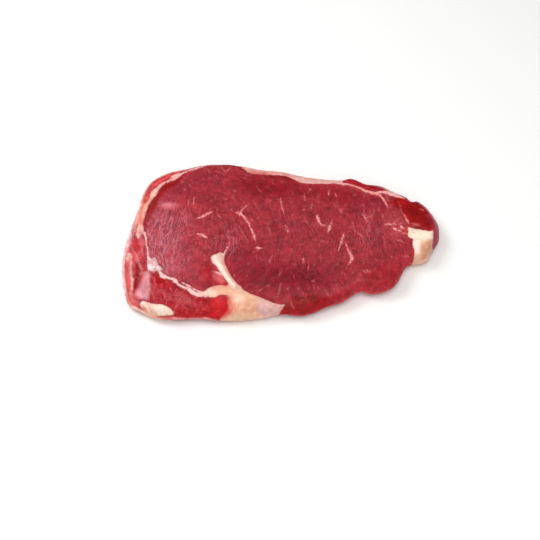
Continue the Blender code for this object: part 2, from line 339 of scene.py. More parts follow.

# %% [markdown]
# ## Marbling
# Flecks and threads of fat lie between the bundles. The ones that catch the eye are drawn one by
# one, and with them a few painted highlights: glints of light on the wet meat before the end
# muscle. Hundreds of hair-thin ones are scattered along the rows with a seeded random generator,
# so that every run of this script gives the same steak.

# %% Drawn flecks of the eye muscle
FLECKS_AND_GLINTS = [
    (.85, [(-58, 16.4, .3), (-54.6, 17.8, .8), (-51, 20.2, .8), (-48.4, 21.8, .3)]),
    (1, [(-57, 2.4, .3), (-54.6, 1.8, .7), (-52, .2, .6), (-50.4, -1, .2)]),
    (.5, [(-44, 20.2, .2), (-42.9, 18, .5), (-41.4, 16.4, .2)]),
    (.3, [(-45.6, -32.4, .3), (-42, -34.8, .5), (-38, -36.8, .6)]),
    (.65, [(-61.3, 33, .2), (-61.2, 30.6, .5), (-61.6, 28.8, .2)]),
    (.5, [(-81.6, 29, .3), (-78.4, 28.2, 1.2), (-75.4, 27.8, .4)]),
    (.35, [(-84, 26.6, .6), (-79, 25.4, .9), (-75, 25.8, .6)]),
    # the long branched thread in the middle
    (.6, [(-22.8, 28.9, .2), (-25.4, 25.8, .5), (-28, 22, .7), (-29.6, 19.8, .4)]),
    (.85, [(-30.8, 21.4, .3), (-28.4, 20.8, .8), (-26.4, 18.8, .5), (-24.6, 16, .8)]),
    (.85, [(-24.6, 16, .8), (-22.8, 13, .5), (-21.4, 9.4, .4), (-19.6, 5, .45),
           (-18.3, 1.4, .6), (-17.4, -2.2, .2)]),
    (.35, [(-28.8, 8.6, .2), (-26.6, 4.4, .3), (-24.8, .6, .3), (-23.2, -2.6, .1)]),
    (.4, [(-36.1, .4, .2), (-35.2, -5, .35), (-35.6, -9.6, .35), (-37.6, -13.4, .6)]),
    (.25, [(-49, 7.4, .2), (-47, 4.4, .3), (-45, 1.4, .2)]),
    (.9, [(-17.2, -9.4, .2), (-15.4, -9.5, .7), (-13.4, -9.8, .2)]),
    (.5, [(-15.2, -7.4, .2), (-15.6, -11.6, .3)]),
    (.35, [(-8.2, 8, .3), (-7.2, 4.6, .5), (-6.6, 1.8, .2)]),
    (.5, [(-6, -16.6, .3), (-7, -19, .5), (-8, -22, .2)]),
    (.25, [(-16.6, -16, .2), (-16.2, -20, .3)]),
    (.25, [(-19.4, 32, .2), (-17.6, 28.6, .5), (-16.6, 25.6, .2)]),
]

# %% Drawn flecks of the long muscle
FLECKS_AND_GLINTS += [
    (.7, [(.2, 34, .2), (.8, 29, .4), (1.2, 25.4, .4), (2.2, 21.4, .2)]),
    (.7, [(3.6, 10, .2), (4.8, 7, .5), (5.0, 3.8, .3)]),
    (.5, [(17.4, 38, .2), (17.3, 35.4, .4), (17.5, 32.6, .2)]),
    (.7, [(34.5, 40.6, .2), (34.6, 38.2, .5)]),
    (.5, [(39.2, 38.8, .3), (39.7, 36.6, .4)]),
    (.7, [(42.1, 24, .3), (42.6, 22, .5)]),
    (.7, [(55.4, -28.4, .3), (55.9, -29, .4)]),
    (.6, [(58, -28, .3), (58.4, -28.6, .4)]),
    (.8, [(25.4, 19.4, .3), (26.2, 15.8, .9), (27, 13, .6), (28.8, 10.2, .3)]),
    (.85, [(35.8, 13.4, .2), (34.6, 9.8, .6), (33.8, 7.2, .8), (32.6, 3.8, .3)]),
    (.6, [(30.4, 10.8, .2), (32.4, 9.2, .4), (34, 8.4, .5)]),
    (.4, [(41.6, 25.6, .2), (42.2, 22.8, .5), (42.4, 20.4, .2)]),
    (.8, [(43.7, 2.8, .2), (43.1, .4, .5), (41.9, -3, .6), (40.7, -7.4, .3), (39.4, -11, .2)]),
    (.8, [(44.3, -5.2, .2), (45.4, -9.4, .4), (46.6, -13, .5), (47.8, -16, .8), (48.2, -18, .9),
          (47.2, -20.8, .5), (45.6, -23, .2)]),
    (.45, [(50.6, 7, .2), (52.2, 4.4, .3), (54.6, 2.4, .3), (55.9, .6, .5)]),
    (.35, [(56.2, 10.6, .2), (57.2, 6.6, .3)]),
    (.35, [(56.5, -1.6, .2), (57, -4.4, .4), (56.8, -6.2, .2)]),
    (.7, [(57.8, 19.6, .3), (59.4, 16.6, .7), (60, 13.4, .2)]),
    (.5, [(59.6, 16.6, .4), (62, 17.8, .3), (64.6, 19.6, .2)]),
    (.4, [(60, 15.2, .3), (62.2, 12.8, .2)]),
    (.3, [(65.4, 25, .3), (66, 21.6, .4), (64.6, 18.6, .2)]),
    (.6, [(15.3, -17.4, .2), (15.2, -20, .5), (14.9, -22.8, .2)]),
    (.5, [(-.3, -39, .2), (-.8, -42.4, .4), (-1.8, -47, .2)]),
    (.5, [(6.4, -53.6, .2), (7, -56, .6), (8, -57.6, .3)]),
    (.25, [(60.8, -10, .2), (61.6, -14.4, .3)]),
    (.3, [(36.4, -39, .2), (36.8, -42, .2)]),
    (.3, [(29, -44, .2), (31, -48, .3)]),
]

# %% Flecks and painted glints before the end muscle, flecks on the cap muscle and at the back edge
FLECKS_AND_GLINTS += [
    # painted highlights: the next seven dashes are glints of light on the wet surface
    (1, [(79, 7.6, .8), (79.5, 7, .8)]),
    (1, [(83.9, 9.1, .7), (84.3, 8.7, .7)]),
    (.9, [(81.9, 5.5, .6), (82.4, 5.1, .6)]),
    (.9, [(75.4, 11.3, .6), (76, 11.1, .6)]),
    (.7, [(79.2, 11.4, .4), (79.7, 11.1, .4)]),
    (.8, [(73.2, 11, .5), (73.6, 10.7, .5)]),
    (.6, [(83.4, 12.2, .3), (83.7, 11.8, .3)]),
    (.5, [(85.8, 20.4, .4), (87.3, 17.7, .7)]),
    (.7, [(87.8, 16.4, .4), (88.5, 14.6, .8), (89.2, 12.4, .3)]),
    (.4, [(85, 27, .3), (85, 23, .3)]),
    (.4, [(71.4, 19.4, .3), (71.7, 16.6, .3)]),
    (.6, [(80.8, -3.2, .3), (82.4, -3.9, .4), (84, -4.6, .2)]),
    (.5, [(84, 3.6, .3), (86.6, 2.8, .6), (88, 1.6, .3)]),
    (.5, [(83.8, -16.4, .3), (84.1, -16.6, .3)]),
    (.5, [(86.2, -16.4, .3), (86.5, -16.6, .3)]),
    # a painted highlight: one more glint of light on the wet surface
    (.55, [(99.4, 24.2, .4), (99.9, 23.8, .4)]),
    (.35, [(92.6, 11.6, .8), (95.6, 10.6, .6)]),
    # on the cap muscle along the front and left
    (.4, [(-66, -53.6, .2), (-68.6, -57, .4), (-69.2, -60, .3)]),
    (.3, [(-60.6, -52.6, .2), (-64, -55, .3)]),
    (.4, [(-79.6, -44, .2), (-77, -47, .4), (-75.6, -49.6, .2)]),
    (.4, [(-85, -46, .2), (-83.4, -51, .4)]),
    (.25, [(-53, -55, .2), (-50, -58.6, .3)]),
    # at the back edge
    (.5, [(-42.8, 63.6, .3), (-41, 61, .5), (-39.4, 59.6, .6), (-37.6, 61.4, .5),
          (-36, 63.5, .3)]),
    (.4, [(-46.5, 60, .2), (-43.6, 58, .3), (-41, 56.6, .3)]),
    (.35, [(-53.6, 62.6, .3), (-51.6, 60.4, .5), (-51, 58, .3)]),
    (.35, [(-16.6, 45, .2), (-15, 42, .3), (-13.6, 40.4, .2)]),
    (.25, [(-34, 37.6, .3), (-33.6, 34.4, .4)]),
]
print("drawn flecks:", len(FLECKS_AND_GLINTS))

# %% Scattered threads
KEEP_OUT, RIM, END_AT = 1.5, 3, 86
SCATTER_SEED = 27
rng = np.random.default_rng(SCATTER_SEED)


def scattered(face, count, low, high, width):
    """Threads along the rows, each with a strength, at random places on one face of the lean."""
    free = (fat < -KEEP_OUT) & (seam < -KEEP_OUT) & (depth > RIM) & (sheet[:, 0] < END_AT)
    picked = rng.choice(np.flatnonzero(free & (normal[:, 2] * face > 0.5)), count)
    threads = []
    for index in picked:
        x, y = sheet[index] + rng.uniform(-0.4, 0.4, 2)
        dx, dy = along_rows(x, y)
        lean = rng.normal(0, 0.26)
        dx, dy = dx - lean * dy, dy + lean * dx
        # most are short, and a few are long
        half = rng.uniform(0.15, 1.0) * rng.choice((0.6, 1.0, 2.4), p=(0.45, 0.40, 0.15))
        sway = rng.normal(0, 0.3)
        middle = (x - dy * sway, y + dx * sway, rng.uniform(*width))
        start = (x - dx * half, y - dy * half, 0.1)
        end = (x + dx * half, y + dy * half, 0.1)
        power = low + (high - low) * rng.uniform() ** 2
        threads.append((power, (start, middle, end)))
    return threads


top_threads_and_glints = FLECKS_AND_GLINTS + scattered(1, 520, 0.06, 0.62, (0.12, 0.40))
under_threads = scattered(-1, 340, 0.10, 0.7, (0.2, 0.6))


def thread_fields(threads):
    """Signed distance to the nearest of the threads and painted glints, its strength near it, and
    its half width there.
    """
    best = np.full(len(co), -99.0)
    side = np.full(len(co), 9.0)
    strength = np.zeros(len(co))
    for power, line in threads:
        inside, off = line_field(sheet, [line])
        better = inside > best
        best[better], side[better] = inside[better], off[better]
        strength[better] = power
    width = np.clip(best + np.abs(side), 0.05, 3)
    fade = 1 - blend((-best - 0.7) / 1.1)
    return side, strength * fade, width


above = normal[:, 2] > -0.3
thread_and_glint_side, thread_and_glint_gain, thread_and_glint_width = (
    np.where(above, top, under)
    for top, under in zip(thread_fields(top_threads_and_glints), thread_fields(under_threads))
)
thread_and_glint_gain *= 1 - 0.8 * wall  # on the wall they nearly vanish
print("threads:", len(top_threads_and_glints), "above and", len(under_threads), "below")

# %% [markdown]
# ## Relief
# A cut face isn't flat. Meat draws back as it dries and fat stays proud, seams sink a little, and
# the surface swells slowly from muscle to muscle. The wall is more uneven: it has folds that run
# up and down. All of it is under a millimetre, so the steak keeps the size of its solids.

# %% Sculpt the skin


def waves(points, size, seed, octaves=3):
    """Smooth noise from -1 to 1 at each point, with features of about the given size."""
    shift = Vector((seed * 17.3, seed * 5.1, seed * 9.7))
    return np.array([noise.fractal(Vector(p) / size + shift, 0.9, 2.1, octaves) for p in points])


CREASE_WIDTH = 1.3
CREASES = [
    [(-42.4, 2.6, .1), (-39, 6.4, .2), (-35, 10.2, .2), (-31.6, 13.6, .2), (-29.4, 17, .1)],
    [(-44, 20.6, .1), (-40, 22, .2), (-36, 21.4, .1)],
    [(-71.4, 53.4, .2), (-76, 50.6, .3), (-82, 47.6, .4), (-85, 43.6, .4), (-86.6, 38.4, .4),
     (-91.4, 30, .4), (-93.4, 20, .4), (-94.4, 12, .4), (-93.4, 3, .3)],
    [(-97, -22, .3), (-95.4, -30, .4), (-96.6, -41, .3)],
]
crease = blend(1 + line_field(sheet, CREASES)[0] / CREASE_WIDTH)

# Heights and sizes are in mm: slow swells on the faces, finer and deeper folds on the wall.
swell = 0.34 * waves(co * (1, 1, 0.3), 15, 1) + 0.12 * waves(co, 4.2, 2)
folds = 0.50 * waves(co * (1, 1, 0.35), 6.5, 3) + 0.22 * waves(co, 2.4, 4)
groove = -0.36 * crease - 0.30 * blend((seam + 2.6) / 1.6) * (1 - blend((seam + 1.0) / 1.2))
raised = 0.40 * blend((seam + 0.6) / 1.4) + 0.16 * blend((fat + 0.6) / 1.8)
lift = (swell + groove + raised) * (1 - wall) + folds * wall

# The lower face lies on what is below it, so it stays flat but for a trace of unevenness.
under = np.clip(-normal[:, 2], 0, 1)
lift *= 1 - blend(under * 1.6)
co = co + normal * lift[:, None]
resting = (under > 0.6) & (co[:, 2] < 1.0)
co[resting, 2] = np.maximum(0, 0.10 * waves(co[resting], 9, 6))
co[:, 2] = np.maximum(co[:, 2], 0)
for vert, place in zip(skin.verts, co * MM):
    vert.co = place
skin.normal_update()
print("relief from %.2f to %.2f mm" % (lift.min(), lift.max()))

# %% [markdown]
# ## Colours that change slowly
# The meat isn't one red. It is dull and lilac on the left of the eye muscle, which is a painted
# sheen of its wet surface, brighter where it was covered, and darkest in the hollows, which is
# painted shade. Such slow changes are soft layers of colour, kept on the mesh as an attribute. Fat
# gets its own layers: cream, peach, and pink where it is thin, with some painted highlight and
# shade on its ridges and slopes. A layer is a round blot, a brush stroke, a closed area or a piece
# of the skyline, with a colour and a strength. Their borders are a little frayed, as nothing on
# meat ends in a clean line.

# %% Ways to paint
LIGHT_GAIN, SHINE = 1.13, 0.009


def linear(red, green, blue):
    """A colour given in display values from 0 to 255, as the linear values that shaders use."""
    share = np.array((red, green, blue)) / 255
    return np.where(share <= 0.04045, share / 12.92, ((share + 0.055) / 1.055) ** 2.4)


def pigment(red, green, blue):
    """The paint that comes out as this display colour under this scene's light and shine."""
    return np.clip((linear(red, green, blue) - SHINE) / LIGHT_GAIN, 0.002, 0.98)


frayed = sheet + 0.7 * np.stack([waves(co, 3.5, seed, 2) for seed in (11, 12)], 1)


def blot(x, y, reach_x, reach_y=None, turn=0, points=frayed):
    """A soft round patch: 1 in its middle, fading out at its reach. The turn is in degrees."""
    c, s = math.cos(math.radians(turn)), math.sin(math.radians(turn))
    dx, dy = points[:, 0] - x, points[:, 1] - y
    far = ((dx * c + dy * s) / reach_x) ** 2 + ((dy * c - dx * s) / (reach_y or reach_x)) ** 2
    return np.exp(-far**1.5)


def soft_edge(inside, soft):
    """1 inside and 0 outside, with a border that reaches as far as soft on both sides."""
    return blend(0.5 + inside / (2 * soft))


def stroke(*line, soft=0.8):
    """A brush stroke along points that have a half width each."""
    return soft_edge(line_field(frayed, [line])[0], soft)


def patch(*corners, soft=0.8):
    """A closed area with a soft edge."""
    return soft_edge(area_field(frayed, corners), soft)


def skyline(width, *region):
    """The edge of the steak against the floor, within a soft round region of the drawing."""
    return soft_edge(width - from_skyline, 0.6) * blot(*region)


def painted(base, layers):
    """The base colour with layers over it, each a share, a display colour and a strength."""
    colour = np.tile(pigment(*base), (len(co), 1))
    for share, tint, strength in layers:
        share = strength * share[:, None]
        colour = colour * (1 - share) + pigment(*tint) * share
    return colour


# %% [markdown]
# ### Layers of the meat
# They go on muscle by muscle, in the order of the cells below.

# %% Eye muscle: a painted sheen, dull and lilac, on the left; redder towards the tongue of fat
EYE_MUSCLE = [
    # painted sheen: the soft reflection on the wet surface, put in as a dull lilac colour
    (blot(-80, 2, 15, 32, 8), (168, 70, 84), .85),
    (blot(-66, -22, 18, 13, -30), (168, 60, 70), .75),
    (blot(-60, 12, 18, 14), (168, 56, 66), .7),
    (blot(-58, 46, 26, 12, 8), (150, 45, 57), .8),
    (blot(-36, 34, 18, 18), (160, 50, 60), .5),
    (blot(-50, -8, 12, 14), (170, 56, 66), .6),
    (blot(-46, -29, 8, 10, 20), (165, 34, 42), .8),
    (blot(-40, -36, 5, 3.4), (190, 48, 54), .7),
    (blot(-41.4, -33.4, 3, 4.6, 34), (216, 106, 106), .75),
    (blot(-68, 24, 15, 6), (176, 54, 62), .5),
    (blot(-37, 9, 3.0, 9, -46), (134, 26, 36), .6),
    (blot(-78, 36, 7, 4, 10), (150, 50, 62), .6),
    (blot(-79.4, 28.2, 6, 2.4), (208, 124, 134), .8),
    # dark crimson in the hollow inside the broad seam: painted shade of the hollow
    (stroke((-72, 52.4, .8), (-76, 48.8, 2.4), (-81, 46, 2.6), (-84.4, 41, 1.8), (-86.2, 36.6, 2),
            (-88.6, 31.6, 2.2), (-90, 26.6, 2.8), (-92.2, 20, 2.2), (-93.4, 13, 1.6), (-93.6, 8, 1),
            soft=2.2), (150, 2, 24), 1),
]

# %% Long muscle
LONG_MUSCLE = [
    (blot(-20, -24, 15, 17), (138, 34, 46), .75),
    (blot(-8, 44, 26, 9, -8), (136, 26, 38), .75),
    (blot(-3, 5, 3, 15, 4), (142, 38, 48), .5),
    (blot(22, 4, 24, 18), (154, 48, 56), .6),
    (blot(12, -33, 26, 12, 8), (122, 26, 37), .85),
    (blot(42, 36, 24, 6, -10), (146, 30, 40), .7),
    (blot(62, 30, 12, 8, -20), (146, 44, 56), .6),
    (blot(40, -24, 14, 10), (158, 50, 58), .5),
    (blot(62, -6, 16, 14), (158, 48, 55), .5),
    (blot(76, -12, 10, 8), (146, 42, 52), .6),
    (blot(68, -34, 16, 8, 24), (158, 34, 40), .75),
    (blot(80, 10, 10, 12), (172, 66, 74), .6),
    (blot(10, 52.6, 24, 2.6, -8), (134, 14, 26), .7),
    (patch((-2, -62), (0, -56), (6, -51), (12, -48), (24, -47), (32, -50), (34, -60), (20, -72),
           (0, -72), soft=3), (136, 2, 20), .85),
    (stroke((30, -53, 2.4), (38, -49.4, 1.6), (44, -46.6, 1), soft=2.6), (152, 20, 32), .6),
]

# %% End muscle, and the red between its seam and the edge
END_MUSCLE = [
    (patch((78, 31), (82, 35), (88, 37), (96, 36), (106, 24), (107, 8), (101, 6), (95, 7.4),
           (90.4, 9.4), (89.4, 14), (87.4, 18), (85.6, 23), (80, 26), soft=1.6),
     (150, 0, 26), .95),
    (blot(94, 22, 5, 5), (124, 0, 14), .7),
    (blot(102, 13, 2.6, 6), (124, 0, 14), .7),
    (blot(87, 28, 4, 4), (166, 18, 28), .8),
    (blot(89, 32, 4, 3), (188, 30, 38), .6),
    (blot(94, 10.6, 3.4, 1.6), (186, 70, 76), .6),
    (patch((45, 49.4), (50, 48.6), (56, 45.6), (62, 42.6), (70, 41.6), (76, 41), (80, 38.4),
           (80, 46), (64, 54), (46, 56), soft=.9), (158, 28, 38), .95),
    (blot(51, 50, 4.4, 1.8), (170, 42, 50), .7),
    (stroke((89, -13, .4), (90.2, -10.6, .5), (89.6, -8, .4), (90, -5, .4)), (196, 30, 38), .7),
    (blot(87, 7, 2.6, 2), (215, 80, 75), .7),
    # mauve membrane outside the block and the end muscle
    (stroke((98, 31, .6), (103.4, 25, .8), (106, 19, 1.2), (107.4, 13, 1.4), (107.6, 7, 1.4),
            (107.4, 1, 1.3), (106.4, -5, 1.0), (105, -9, .6), soft=1.2), (138, 68, 80), .95),
    (stroke((102, 19.4, .5), (104.6, 14.6, .8), (105.2, 9, .6), soft=1), (150, 46, 56), .7),
    (stroke((90, 8.6, .4), (95, 9.6, .7), (101, 7.2, .4), soft=.7), (158, 56, 64), .7),
]

# %% Cap muscle in front, with the red glow beside the wedge
CAP_IN_FRONT = [
    (patch((-84, -30), (-79, -31), (-74, -37), (-66, -43.4), (-56, -48.6), (-46, -52),
           (-34, -50), (-32, -62), (-40, -70), (-70, -70), (-70, -62), (-76, -56), (-84, -53),
           (-87, -50), (-86.6, -38), soft=1.6), (164, 26, 38), .95),
    (blot(-80, -36, 5, 4), (158, 18, 28), .7),
    (blot(-58, -60.4, 13, 3, 4), (150, 15, 24), .85),
    (patch((-46, -51), (-41, -49.4), (-35, -49.6), (-33, -54), (-32.4, -59), (-36, -64),
           (-46, -64.6), soft=2), (198, 26, 38), .95),
    (blot(-46, -58.4, 7, 3.6), (174, 16, 28), .75),
    (blot(-64, -50, 9, 3.4, -28), (184, 70, 78), .7),
    (blot(-72, -42, 6, 3, -30), (176, 46, 56), .6),
    (blot(-82, -46, 3, 5), (188, 52, 58), .7),
    (stroke((-84.4, -33, .3), (-83.6, -40, .4), (-84.4, -47, .3)), (206, 96, 98), .6),
    (stroke((-79, -39, .3), (-78.4, -44, .4), (-74, -47.6, .3)), (202, 92, 96), .6),
    (stroke((-75, -52, .3), (-68, -52.4, .4), (-61, -53.6, .3)), (200, 86, 90), .5),
    (blot(-76, -50, 4, 2.4), (146, 18, 28), .6),
    (stroke((-70, -66, .8), (-60, -66.6, .8), (-50, -66.2, .8), (-42, -67.4, .6)),
     (232, 160, 160), .9),
    (stroke((-70.5, -57.6, .4), (-68.4, -61, .6), (-68.2, -64.4, .4)), (110, 20, 25), .8),
]

# %% Lumpy outer part of the cap on the left, from the inside out
CAP_ON_LEFT = [
    (patch((-99.6, 0), (-95.6, 0), (-93, -2), (-90.6, -16), (-90.4, -28), (-92, -50), (-103, -48),
           (-108, -30), (-107, -10), soft=1.2), (190, 60, 70), .9),
    (stroke((-98.6, -1, .8), (-98.4, -7, 1.3), (-97.4, -13, 1.0), soft=1), (186, 34, 42), .85),
    (stroke((-93.4, -8, 1.1), (-93, -14, 1.4), (-92, -20, 1.6), (-91.4, -27, 1.2), soft=1),
     (172, 44, 54), .85),
    (stroke((-97.2, -21, 1.0), (-95.6, -27, 1.6), (-95.2, -33, 1.8), (-96.2, -40, 1.5),
            (-97, -46, 1.1), soft=.9), (148, 16, 28), .95),
    (patch((-92, -30), (-88.4, -28), (-87.2, -38), (-86.6, -44), (-87, -51), (-92, -51),
           (-96.4, -48), (-94.8, -44), (-92.6, -39), soft=1.6), (226, 158, 164), .95),
    (stroke((-97.2, -16, .3), (-96, -22, .5), (-93.6, -27, .5), (-92.6, -31, .3), soft=.6),
     (226, 140, 142), .8),
    (stroke((-101.6, -9, .3), (-98, -15.6, .4), (-97.6, -22, .3), soft=.6), (226, 132, 134), .8),
    (stroke((-98, -15, .3), (-95, -11.4, .4), (-92.4, -17, .3), soft=.6), (222, 120, 124), .7),
    (stroke((-96.4, 1.4, .7), (-95, -4, 1), (-94.4, -8, .9), (-93.8, -13, .5)),
     (222, 108, 112), .85),
    (stroke((-101.8, 3, .5), (-103, -4.6, .8), (-104, -12, .5), soft=.9), (226, 150, 152), .7),
    (patch((-101, -45), (-98, -46), (-95, -50), (-92, -55), (-96, -58), (-102.4, -52), soft=1.2),
     (206, 96, 94), .9),
    (stroke((-99.6, -44, .3), (-98.8, -49, .4), (-96.6, -53, .3), soft=.7), (238, 160, 152), .45),
    (stroke((-101.4, -17, .7), (-101.2, -24, .9), (-100.3, -30, .9), (-99.2, -36, .8),
            (-98.6, -43, .6), soft=.7), (240, 185, 175), .95),
    (stroke((-104, -19, .8), (-103.8, -26, 1.2), (-102.5, -33, 1.0), (-101.4, -38, .8),
            (-100.6, -44, .7), soft=.7), (206, 78, 76), .95),
    (stroke((-103.4, 3, .5), (-104.6, -6, .6), (-105.6, -14, .8), (-106.2, -22, .8),
            (-106, -30, .6), (-104.8, -38, .6), (-102.8, -46, .5), soft=.6), (240, 206, 204), .95),
    (blot(-103.2, -17, 1.6, 3), (252, 228, 205), .9),
    # salmon band below the corner spot
    (stroke((-98, -58.6, .6), (-92, -61.4, 1.0), (-87, -64.4, 1.2), (-80, -66.4, 1.2),
            (-71, -66.6, 1.2)), (206, 112, 110), .9),
    # red lumps outside the broad seam
    (stroke((-97.4, 30, .9), (-95.6, 37, 1.5), (-93.4, 42, 1.6), (-90.4, 46.6, 1.5),
            (-86, 51, 1.5), (-80, 55.4, 1.3), (-74, 58.8, .6), soft=.9), (206, 68, 70), .95),
    (stroke((-97.8, 28, .8), (-99.2, 20, 1.4), (-100.4, 12, 1.3), (-101, 5, .9)),
     (238, 160, 148), .85),
    (blot(-95, 34, 2, 3, 20), (235, 105, 85), .8),
    (blot(-96.4, 28, 1.6, 3, 10), (238, 140, 110), .8),
    (blot(-91, 47, 2, 1.6), (230, 80, 75), .8),
]

# %% Edge against the floor: pale skin on the left, salmon lines along the front
EDGE = [
    (skyline(1.6, -105, -22, 9, 36), (240, 192, 192), .9),
    # partly painted light: the peach rim below the corner spot, made brighter because this wall
    # faces away from the lamps
    (skyline(1.7, -92, -62, 14, 7, -20), (248, 200, 182), .9),
    (skyline(1.0, -98, 26, 6, 26), (244, 188, 178), .85),
    (skyline(1.0, -84, 52, 12, 9), (240, 176, 170), .8),
    (skyline(.9, -62, 63, 14, 6), (236, 170, 174), .7),
    (skyline(.6, 52, 50, 12, 6), (206, 110, 112), .6),
    (skyline(1.2, 78, 41, 9, 6, -24), (236, 170, 164), .8),
    (skyline(.9, 104, 20, 8, 18), (190, 116, 122), .8),
    (skyline(.8, 40, -53, 16, 8, 24), (214, 104, 100), .85),
    (skyline(.8, 10, -64, 16, 6), (188, 70, 72), .7),
    (skyline(.8, 70, -42, 26, 22, 30), (196, 78, 80), .8),
]

# %% All of the meat
MEAT = EYE_MUSCLE + LONG_MUSCLE + END_MUSCLE + CAP_IN_FRONT + CAP_ON_LEFT + EDGE
FLESH = painted((156, 46, 55), MEAT)
print("layers on the meat:", len(MEAT))

# The wall and the slopes that turn from the window get less light than the rest, so what the eye
# sees of them is painted brighter.
FROM_WINDOW = (0.61, -0.29, 0)
turned_off = blend(normal @ FROM_WINDOW / 0.45)
FLESH *= (1 + np.maximum(0.34 * wall, 0.36 * turned_off) * in_sight[:, 0])[:, None]

# %% [markdown]
# ### Layers of the fat
# The thick masses and the thin strips have a base colour each, so they are painted apart.

# %% Wedge: peach; the cream ridge of the tongue has a painted highlight and painted shade
ON_WEDGE = [
    # painted highlight: the head and the ridge of the tongue, white fat made whiter where light
    # falls
    (blot(-43.4, -17, 6, 5), (250, 216, 204), .9),
    (patch((-47, -17), (-38, -13), (-36, -22), (-30, -36), (-22, -44), (-28, -46), (-36, -38),
           (-42, -28), soft=2.5), (238, 190, 176), .8),
    (stroke((-44.4, -17, 1), (-43, -22, 1.2), (-39.6, -28, 1.2), (-35.6, -35, 1.2), (-31, -42, 1),
            soft=1), (255, 234, 226), .95),
    (blot(-33, -37, 2, 3, 30), (255, 236, 222), .8),
    # painted shade: a pink line along the shaded side of the ridge
    (stroke((-40, -16.6, .3), (-39.4, -22, .4), (-35.6, -30, .5), (-31, -38, .4), soft=.9),
     (222, 146, 136), .9),
    (blot(-24, -56, 14, 7), (234, 174, 144), .85),
    (blot(-28.6, -51, 4.4, 3.4), (255, 212, 188), .9),
    (blot(-18.6, -57.4, 6, 4), (222, 158, 130), .8),
    (blot(-39, -41.8, 4, 1.4), (226, 150, 138), .8),
    (blot(-36.6, -40.4, 1.8, 1.5), (224, 112, 92), .8),
    (stroke((-50, -43, .3), (-44, -40.4, .4), (-38, -39.8, .4)), (224, 128, 116), .6),
    (blot(-46.6, -42.8, 4, 1.6, 26), (250, 176, 164), .8),
    (stroke((-33.6, -49.8, .8), (-32.6, -54, 1.2), (-31.2, -59, 1.5), (-35, -63.6, 1), soft=2.4),
     (236, 128, 108), .9),
    (blot(-22, -60.4, 3, 2), (226, 158, 124), .6),
    (blot(-14, -62, 3, 2), (226, 158, 124), .6),
    (blot(-38, -44.6, 8, 4), (238, 178, 150), .7),
    (patch((-14, -49.6), (-5, -53.6), (3, -55.4), (0, -64), (-10, -68), (-16, -60), soft=3),
     (222, 174, 172), .95),
    (blot(1, -56.6, 1.8), (224, 134, 138), .8),
    (stroke((-24, -44.4, .5), (-14, -49, .5), (-5, -53.8, .6), (1, -56, .5)),
     (240, 200, 190), .7),
    (blot(-48, -46, 6, 3), (246, 212, 202), .9),
    (stroke((-41, -68.6, .6), (-30, -66.4, .8), (-14, -66, .7), (-6, -64.4, .6)),
     (238, 196, 176), .8),
]

# %% Block and corner spot
ON_BLOCK = [
    (patch((88, 9), (105, 6), (105, -3), (96, -3), (92, -12), (88, -14), soft=2),
     (253, 235, 214), .95),
    (blot(92.5, -7, 3, 8), (253, 240, 224), .9),
    # painted shade: the lower slope of the block, turned from the light, in a darker peach
    (patch((96, -8), (102, -3), (104, -8), (101, -16), (97, -20), (94.6, -18), soft=1.6),
     (216, 152, 124), .9),
    (stroke((104.4, -2, .5), (103.6, -9, .6), (102.6, -14, .8), (99.6, -19, .8), (95, -22.4, .7),
            soft=.7), (228, 192, 182), .85),
    (stroke((89.6, -13, .4), (90.4, -17, .4), (89, -21, .4)), (244, 190, 168), .6),
]
ON_CORNER = [
    (blot(-77, -59.4, 9, 4.6, -14), (254, 234, 218), .95),
    (blot(-84.8, -59, 1.8, 3.2), (228, 188, 182), .85),
    (patch((-93, -56), (-91, -52), (-86, -53), (-85, -58), (-86, -63), (-89.5, -61), soft=1.6),
     (255, 220, 206), .95),
    (blot(-88.8, -59.4, 1.2, 2.6, 24), (236, 146, 112), .85),
    (stroke((-91.4, -55, .3), (-89.6, -57.6, .5), (-87, -61, .4), soft=.6), (226, 120, 92), .7),
    (stroke((-88.4, -53.4, .3), (-86, -57, .4), (-84.6, -61.6, .3), soft=.5), (226, 130, 108), .7),
    (blot(-91, -53.8, 1.8, 1.4), (255, 232, 226), .9),
    (stroke((-83.4, -55.4, .3), (-82.6, -59, .3), (-81, -63, .3), soft=.6), (230, 180, 170), .7),
]

# %% Cover along the back edge
ON_COVER = [
    (stroke((-34, 68, 6), (-20, 66, 10), (0, 65, 10), (20, 58, 10), (46, 56, 9), soft=2),
     (226, 156, 148), .95),
    (blot(-30, 62.4, 3, 2.4), (190, 108, 110), .9),
    (blot(-25, 60.6, 1.6, 1), (244, 176, 174), .8),
    (blot(-19.4, 58.6, 4.4, 2), (210, 116, 110), .9),
    (blot(-11.6, 57.4, 6, 1.8), (200, 98, 90), .9),
    (blot(-2.6, 56.8, 4, 2), (238, 162, 154), .9),
    (blot(6, 55.6, 5, 2), (214, 148, 146), .9),
    (stroke((11, 53.4, 1.4), (16, 51, 2), (24, 49.6, 2), (34, 49, 1.6), (42, 48.6, 1.2),
            soft=1.2), (226, 176, 170), .95),
    (stroke((-26, 61.4, .4), (-16, 59.8, .4), (-6, 59.2, .4), (4, 57.6, .4), (12, 54.6, .4),
            soft=.6), (232, 160, 156), .6),
]
TALLOW = painted((238, 188, 156), ON_WEDGE + ON_BLOCK + ON_CORNER + ON_COVER)
print("mean paint of thick fat:", TALLOW[fat > 0].mean(0).round(2))

# How soft the border of the fat is: softest where the wedge fades into the red beside it.
fat_blur = 1 + 7 * stroke((-35, -50, .6), (-34, -54, 2), (-33, -59, 2.4), (-37, -65, 2), soft=2.5)

